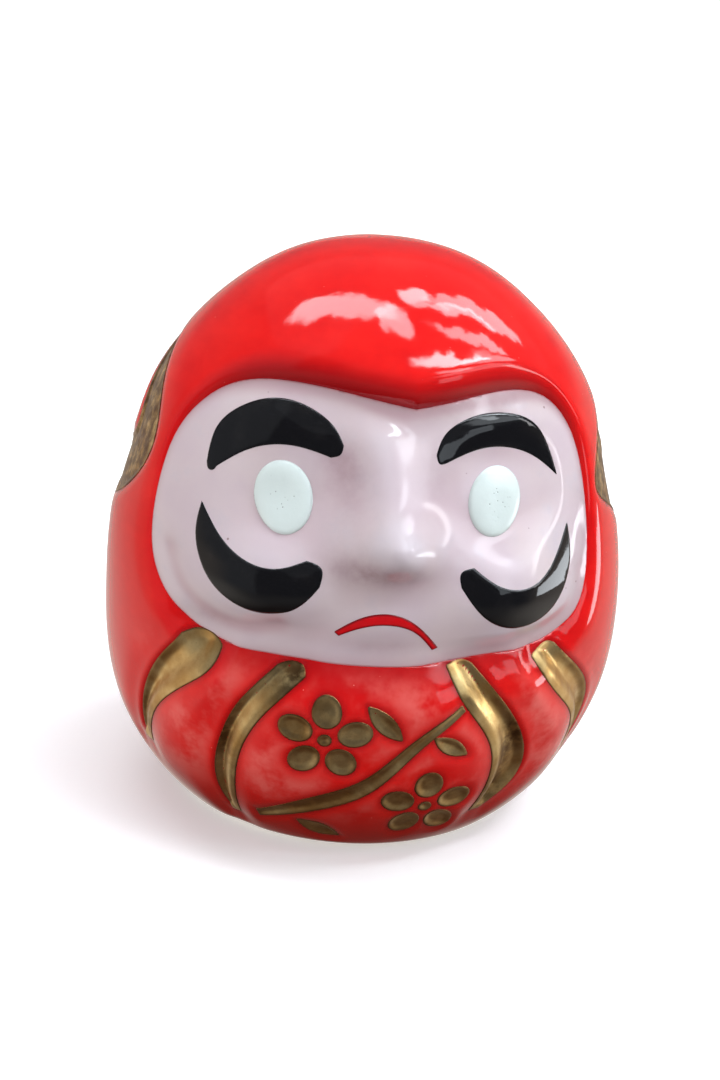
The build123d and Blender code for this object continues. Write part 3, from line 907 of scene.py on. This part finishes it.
def build_robe(material):
    """The red glaze: a skin with the face left open, joined to its own back along both rims."""
    outer, outer_faces, places = skin(*ROBE_GRID, GLAZE_LINE, 0.0)
    inner, inner_faces, inner_places = skin(*ROBE_BACK_GRID, GLAZE_LINE, GLAZE)
    count = len(outer)
    points = np.vstack([outer, inner])
    inner_faces = [tuple(i + count for i in reversed(face)) for face in inner_faces]
    outer_loops = sorted(border_loops(outer_faces), key=lambda loop: outer[loop, 2].mean())
    inner_loops = sorted(border_loops(inner_faces), key=lambda loop: points[loop, 2].mean())
    faces = outer_faces + inner_faces
    for one, other in zip(outer_loops, inner_loops):
        faces += bridge(points, one, other[::-1])
    angle, z = np.vstack([places, inner_places]).T
    marks = {
        "pool": gold_nearness(angle, z, POOL_REACH),
        "pale": robe_highs(angle, z),
        "edge": edge_shade(angle, z),
    }
    make_piece("robe_glaze_skin", points, faces, material, ["robe_glaze"], marks)


def patch(loop, spacing, rise, rim, root, spread=0.0):
    """A closed thin piece on the surface inside loop, which spread widens.

    It is rise high, rounded over rim, and goes root deep under the surface.
    """
    low, high = loop.min(0) - spread - spacing, loop.max(0) + spread + spacing
    columns, rows = (np.ceil((high - low) / spacing) + 1).astype(int)
    u, v = np.meshgrid(np.linspace(low[0], high[0], columns), np.linspace(low[1], high[1], rows))
    places = np.stack([u.ravel(), v.ravel()], axis=1)
    inside = signed_distance(places, loop, 3.0) + spread
    places, faces = clip(places, grid_faces(columns, rows), inside)
    across = np.maximum(signed_distance(places, loop, 3.0) + spread, 0)
    round_over = 1 - np.clip(across / rim, 0, 1)
    lift = rise * np.sqrt(1 - round_over**2)
    angle, z = places[:, 0] / ARC, places[:, 1]
    top = surface(angle, z, lift)
    bottom = surface(angle, z, -root)
    points, solid = thick(top, bottom, faces)
    # hollow also drives the white glaze's painted shade in hollows and painted light on bumps
    marks = {"across": np.tile(across, 2), "hollow": np.tile(hollowness(angle, z), 2)}
    return points, solid, marks


def build_face(material):
    points, faces, marks = patch(FACE_LOOP, *FACE_COAT, GLAZE)
    marks["shade"] = soft_patches(FACE_SHADES, points[:, 0], points[:, 2])
    make_piece("face_glaze_skin", points, faces, material, ["face_glaze"], marks)


def build_marks(loops, material, coat, spread=0.0, browning=None):
    """Enamel or gold pieces. browning gives how brown the gold is at each point, from 0 to 1."""
    for name, loop in loops.items():
        points, faces, marks = patch(loop, *coat, MARK_ROOT, spread)
        if browning:
            marks["thin"] = browning(points)
        make_piece(f"{name}_coat", points, faces, material, [name], marks)


def foot_rings(around):
    """The rings of the vent, the recess and the foot, from the cavity's floor outward."""
    foot = float(ring_radius(np.array(0.0))) - GLAZE
    recess = foot - FOOT_RING
    flat = HALF_DEPTH / HALF_WIDTH
    profile = [  # (radius, z, depth as a share of the width)
        (VENT_RADIUS, CAVITY_FLOOR, 1.0),
        (VENT_RADIUS, FOOT_RECESS, 1.0),
        (recess - 0.4, FOOT_RECESS, 1.0),
        (recess, FOOT_RECESS - 0.3, 1.0),
        (recess, 0.3, 1.0),
        (recess + 0.4, 0.0, 1.0),
        (foot - 0.7, 0.0, flat),
        (foot - 0.1, 0.35, flat),
    ]
    rings = []
    for radius, z, share in profile:
        x, y = radius * np.sin(around), -share * radius * np.cos(around)
        rings.append(np.stack([x, y, np.full(len(around), z)], axis=1))
    return rings


def cavity_rings(around):
    """The rings of the cavity's wall, from its top down to its floor."""
    rings = []
    for z in ring_heights(CAVITY_FLOOR, CAVITY_ROWS)[::-1]:
        points = surface(around, np.full(len(around), z)) * (*CAVITY_SHARE, 1.0)
        share = (z - CAVITY_FLOOR) / (HEIGHT - CAVITY_FLOOR)
        points[:, 2] = CAVITY_FLOOR + share * (CAVITY_TOP - CAVITY_FLOOR)
        rings.append(points)
    return rings


def build_clay(material):
    """The fired casting under the glaze, with its foot ring, recess, vent and cavity."""
    columns = CLAY_COLUMNS
    around = ring_angles(columns)
    outside = foot_rings(around)
    for z in ring_heights(GLAZE_LINE * 0.6, CLAY_ROWS):
        sunk = GLAZE + CLAY_GAP * smoothstep(z / CLAY_GAP_Z)
        outside.append(surface(around, np.full(columns, z), -sunk))
    inside = cavity_rings(around)
    tops = [(0.0, 0.0, CLAY_TOP), (0.0, 0.0, CAVITY_TOP)]
    points = np.vstack(outside + [tops] + inside)
    crown = len(outside) * columns
    last = crown - columns
    first = crown + len(tops)
    end = first + (len(inside) - 1) * columns
    quads = np.vstack([
        grid_faces(columns, len(outside), wrap=True),
        grid_faces(columns, len(inside), wrap=True) + first,
    ])
    faces = [tuple(quad) for quad in quads.tolist()]
    for a in range(columns):
        b = (a + 1) % columns
        faces.append((last + a, last + b, crown))
        faces.append((crown + 1, first + b, first + a))
        faces.append((end + a, end + b, b, a))
    make_piece("clay_casting", points, faces, material, ["body_shell"])


gold = gold_lustre()
build_robe(red_glaze())
build_face(white_glaze())
build_clay(fired_clay())
build_marks(BLACK_LOOPS, black_enamel(), BLACK_COAT)
build_marks({"mouth": MOUTH_LOOP}, red_enamel(), MOUTH_COAT, MOUTH_SPREAD)
build_marks(EYE_LOOPS, pale_enamel(), EYE_COAT)
build_marks(STRIPE_LOOPS, gold, GOLD_COAT, browning=stripe_painted_reflection)
build_marks(EAR_LOOPS, gold, GOLD_COAT, browning=even_brown(EAR_BROWN))
build_marks(MOTIF_LOOPS, gold, GOLD_COAT, browning=even_brown(MOTIF_BROWN))


# ---- floor, light and camera
# The measures from here on are in metres.
MIDDLE = (0, 0, 0.05)  # what the lights point at
FLOOR_REACH = 8.0
FLOOR_GLOW = (0.3, 1.0)  # the floor's own light near the doll and far from it
FLOOR_GLOW_SPAN = (150, 700)  # the distances between those, in millimetres
ROOM_FRONT = (0.12, 0.12, 0.14, 1.0)  # the room in front and above
ROOM_LEFT = (0.30, 0.31, 0.34, 1.0)  # its lighter left side
ROOM_SIDES = (0.55, 0.48, 0.43, 1.0)  # a light band at both sides and behind
ROOM_BACK = (0.20, 0.20, 0.21, 1.0)
ROOM_TABLE = (0.72, 0.66, 0.60, 1.0)  # the table beside and behind the doll, in its glaze
TABLE_FRONT = (0.22, 0.21, 0.21, 1.0)  # and in front of it
ROOM_BELOW = (0.09, 0.06, 0.05, 1.0)  # the shade close under the doll
FILLS = [  # (name, place, width, height, radiance) of the lights that leave no reflection
    ("front_fill", (-0.2, -1.3, 0.2), 1.2, 0.9, 2.6),
    ("left_fill", (-1.3, -0.3, 0.25), 1.0, 1.0, 2.2),
    ("right_fill", (1.3, -0.3, 0.3), 1.0, 1.0, 1.0),
    ("back_fill", (0.3, 1.3, 0.6), 1.2, 1.0, 0.9),
]
WINDOWS = [  # (name, place, width, height, radiance, colour) of the lights that do
    ("high_window", (1.12, -0.24, 0.42), 0.08, 0.32, 5.0, (1.0, 1.0, 1.0)),
    ("low_window", (1.0, 0.03, -0.05), 0.38, 0.17, 6.0, (0.88, 0.94, 1.0)),
    ("corner_window", (0.82, -0.82, 0.38), 0.3, 0.34, 1.6, (0.85, 0.93, 1.0)),
]
SKY_RISE = 0.62  # the sky panel's height over the doll's forehead
SKY_LEVEL = 0.085 + SKY_RISE
SKY_COLOUR = (0.87, 0.94, 1.0)
SKY_BASE = 0.12  # radiance between the patches
SKY_EDGE = (1.15, 0.8)  # a patch fades in between these shares of its half size
SKY_RAGGED = 0.3  # how far the patches' edges are torn
# In all the rest of the sky the unit is SKY_RISE.
SKY_MIDDLE = (1.35, -0.6)
SKY_SIZE = (4.4, 3.6)
SKY_PATCHES = [  # (x, y, turn in degrees, half length, half width, radiance)
    (-0.27, 0.09, -25, 0.44, 0.11, 8.0),
    (0.12, -0.12, -45, 0.16, 0.10, 8.0),
    (0.25, 0.20, 60, 0.14, 0.09, 11.0),
    (0.62, 0.22, 24, 0.42, 0.05, 8.0),
    (0.85, 0.42, 26, 0.60, 0.10, 6.0),
    (0.80, 0.05, 20, 0.45, 0.06, 7.0),
    (0.66, -0.28, 22, 0.45, 0.08, 15.0),
    (1.15, -0.14, 18, 0.52, 0.20, 5.0),
    (0.90, -0.68, -10, 0.40, 0.12, 5.0),
    (1.70, -0.80, 15, 0.95, 0.45, 2.0),
]
AIM = Vector((-0.00055, 0.0, 0.05026))
CAMERA_DISTANCE = 0.3548
CAMERA_AZIMUTH, CAMERA_ELEVATION, CAMERA_ROLL = -7.13, 21.0, 4.87  # degrees
CAMERA_LENS = 60.7


def build_floor():
    """A plain pale floor, which glows a little so that it stays white."""
    mesh = bpy.data.meshes.new("floor")
    corners = [(x * FLOOR_REACH, y * FLOOR_REACH, 0) for x, y in ((-1, -1), (1, -1), (1, 1), (-1, 1))]
    mesh.from_pydata(corners, [], [(0, 1, 2, 3)])
    floor = bpy.data.objects.new("floor", mesh)
    bpy.context.scene.collection.objects.link(floor)
    n = Surface("floor", Roughness=0.9)
    n.colour(srgb(244, 244, 244))
    n.put(n.shader.inputs["Emission Color"], (1, 1, 1, 1))
    glow = n.span(n.vector("LENGTH", n.place()), *FLOOR_GLOW_SPAN, *FLOOR_GLOW)
    n.put(n.shader.inputs["Emission Strength"], glow)
    mesh.materials.append(n.material)
    floor.visible_glossy = False
    floor.visible_diffuse = False
    floor.visible_shadow = False


def build_world():
    """A dim room round the doll, and plain white where the camera looks past it.

    The spans are between values of the direction's parts, which go from -1 to 1.
    """
    world = bpy.data.worlds.new("studio")
    bpy.context.scene.world = world
    world.use_nodes = True
    n = Nodes(world.node_tree)
    room = n.tree.nodes["Background"]
    across, away, up = n.split(n.add("ShaderNodeTexCoord").outputs["Generated"])
    beside = n.calc("ADD", across, n.calc("MULTIPLY", away, -1.0))
    colour = n.blend(n.span(beside, -0.1, 0.0), ROOM_LEFT, ROOM_FRONT)
    colour = n.blend(n.span(away, -0.3, 0.3), colour, ROOM_BACK)
    sides = n.calc("MULTIPLY", n.span(away, -0.4, 0.0), n.span(up, 0.25, 0.0))
    colour = n.blend(sides, colour, ROOM_SIDES)
    table = n.blend(n.span(away, -0.7, -0.1), TABLE_FRONT, ROOM_TABLE)
    colour = n.blend(n.span(up, -0.2, -0.45), colour, table)
    colour = n.blend(n.span(up, -0.5, -0.92), colour, ROOM_BELOW)
    n.put(room.inputs["Color"], colour)
    seen = n.add("ShaderNodeBackground", {"Color": (1, 1, 1, 1), "Strength": 1.0})
    mix = n.add("ShaderNodeMixShader")
    n.put(mix.inputs[0], n.add("ShaderNodeLightPath").outputs["Is Camera Ray"])
    n.put(mix.inputs[1], room.outputs[0])
    n.put(mix.inputs[2], seen.outputs[0])
    n.put(n.tree.nodes["World Output"].inputs["Surface"], mix.outputs[0])


def add_panel(name, place, aim, width, height, radiance, colour):
    """A rectangular light with this radiance."""
    light = bpy.data.lights.new(name, "AREA")
    light.shape = "RECTANGLE"
    light.size, light.size_y = width, height
    light.energy = math.pi * width * height * radiance
    light.color = colour
    lamp = bpy.data.objects.new(name, light)
    bpy.context.scene.collection.objects.link(lamp)
    lamp.location = place
    lamp.rotation_euler = (Vector(aim) - Vector(place)).to_track_quat("-Z", "Y").to_euler()
    return lamp


def build_sky():
    """A soft panel overhead whose light is broken up as a cloudy sky is by trees."""
    middle = (SKY_MIDDLE[0] * SKY_RISE, SKY_MIDDLE[1] * SKY_RISE, SKY_LEVEL)
    size = (SKY_SIZE[0] * SKY_RISE, SKY_SIZE[1] * SKY_RISE)
    panel = add_panel("sky_panel", middle, (*middle[:2], 0.0), *size, 1.0, SKY_COLOUR)
    panel.rotation_euler = (0, 0, 0)  # its sides run along X and Y
    panel.data.use_nodes = True
    n = Nodes(panel.data.node_tree)
    where = n.add("ShaderNodeNewGeometry").outputs["Position"]
    scaled = n.vector("MULTIPLY", where, (1 / SKY_RISE, 1 / SKY_RISE, 0))
    values = {"Vector": scaled, "Scale": 5.0, "Detail": 5.0, "Roughness": 0.6}
    ragged = n.add("ShaderNodeTexNoise", values).outputs["Color"]
    shift = n.vector("MULTIPLY", n.vector("SUBTRACT", ragged, (0.5, 0.5, 0.5)), (SKY_RAGGED,) * 3)
    place = n.vector("ADD", scaled, shift)
    total = SKY_BASE
    for x, y, turn, half_length, half_width, radiance in SKY_PATCHES:
        values = {"Vector": place, "Location": (x, y, 0), "Rotation": (0, 0, math.radians(turn))}
        values["Scale"] = (half_length, half_width, 1.0)
        local = n.add("ShaderNodeMapping", values, vector_type="TEXTURE").outputs[0]
        far = n.vector("LENGTH", n.vector("MULTIPLY", local, (1, 1, 0)))
        total = n.calc("ADD", total, n.span(far, *SKY_EDGE, 0.0, radiance))
    n.put(n.tree.nodes["Emission"].inputs["Strength"], total)


def build_camera():
    azimuth, elevation = math.radians(CAMERA_AZIMUTH), math.radians(CAMERA_ELEVATION)
    roll = math.radians(CAMERA_ROLL)
    level = math.cos(elevation)
    back = Vector((math.sin(azimuth) * level, -math.cos(azimuth) * level, math.sin(elevation)))
    right = Vector((math.cos(azimuth), math.sin(azimuth), 0))
    up = back.cross(right)
    rolled_right = right * math.cos(roll) + up * math.sin(roll)
    rolled_up = up * math.cos(roll) - right * math.sin(roll)
    data = bpy.data.cameras.new("camera")
    data.lens = CAMERA_LENS
    data.clip_start = 0.01
    camera = bpy.data.objects.new("camera", data)
    bpy.context.scene.collection.objects.link(camera)
    axes = Matrix((rolled_right, rolled_up, back)).transposed().to_4x4()
    camera.matrix_world = Matrix.Translation(AIM + back * CAMERA_DISTANCE) @ axes
    bpy.context.scene.camera = camera


build_floor()
build_world()
build_sky()
for name, place, width, height, radiance in FILLS:
    lamp = add_panel(name, place, MIDDLE, width, height, radiance, (1.0, 1.0, 1.0))
    lamp.visible_glossy = False
for name, place, width, height, radiance, colour in WINDOWS:
    add_panel(name, place, MIDDLE, width, height, radiance, colour)
build_camera()
bpy.context.scene.view_settings.view_transform = "Standard"
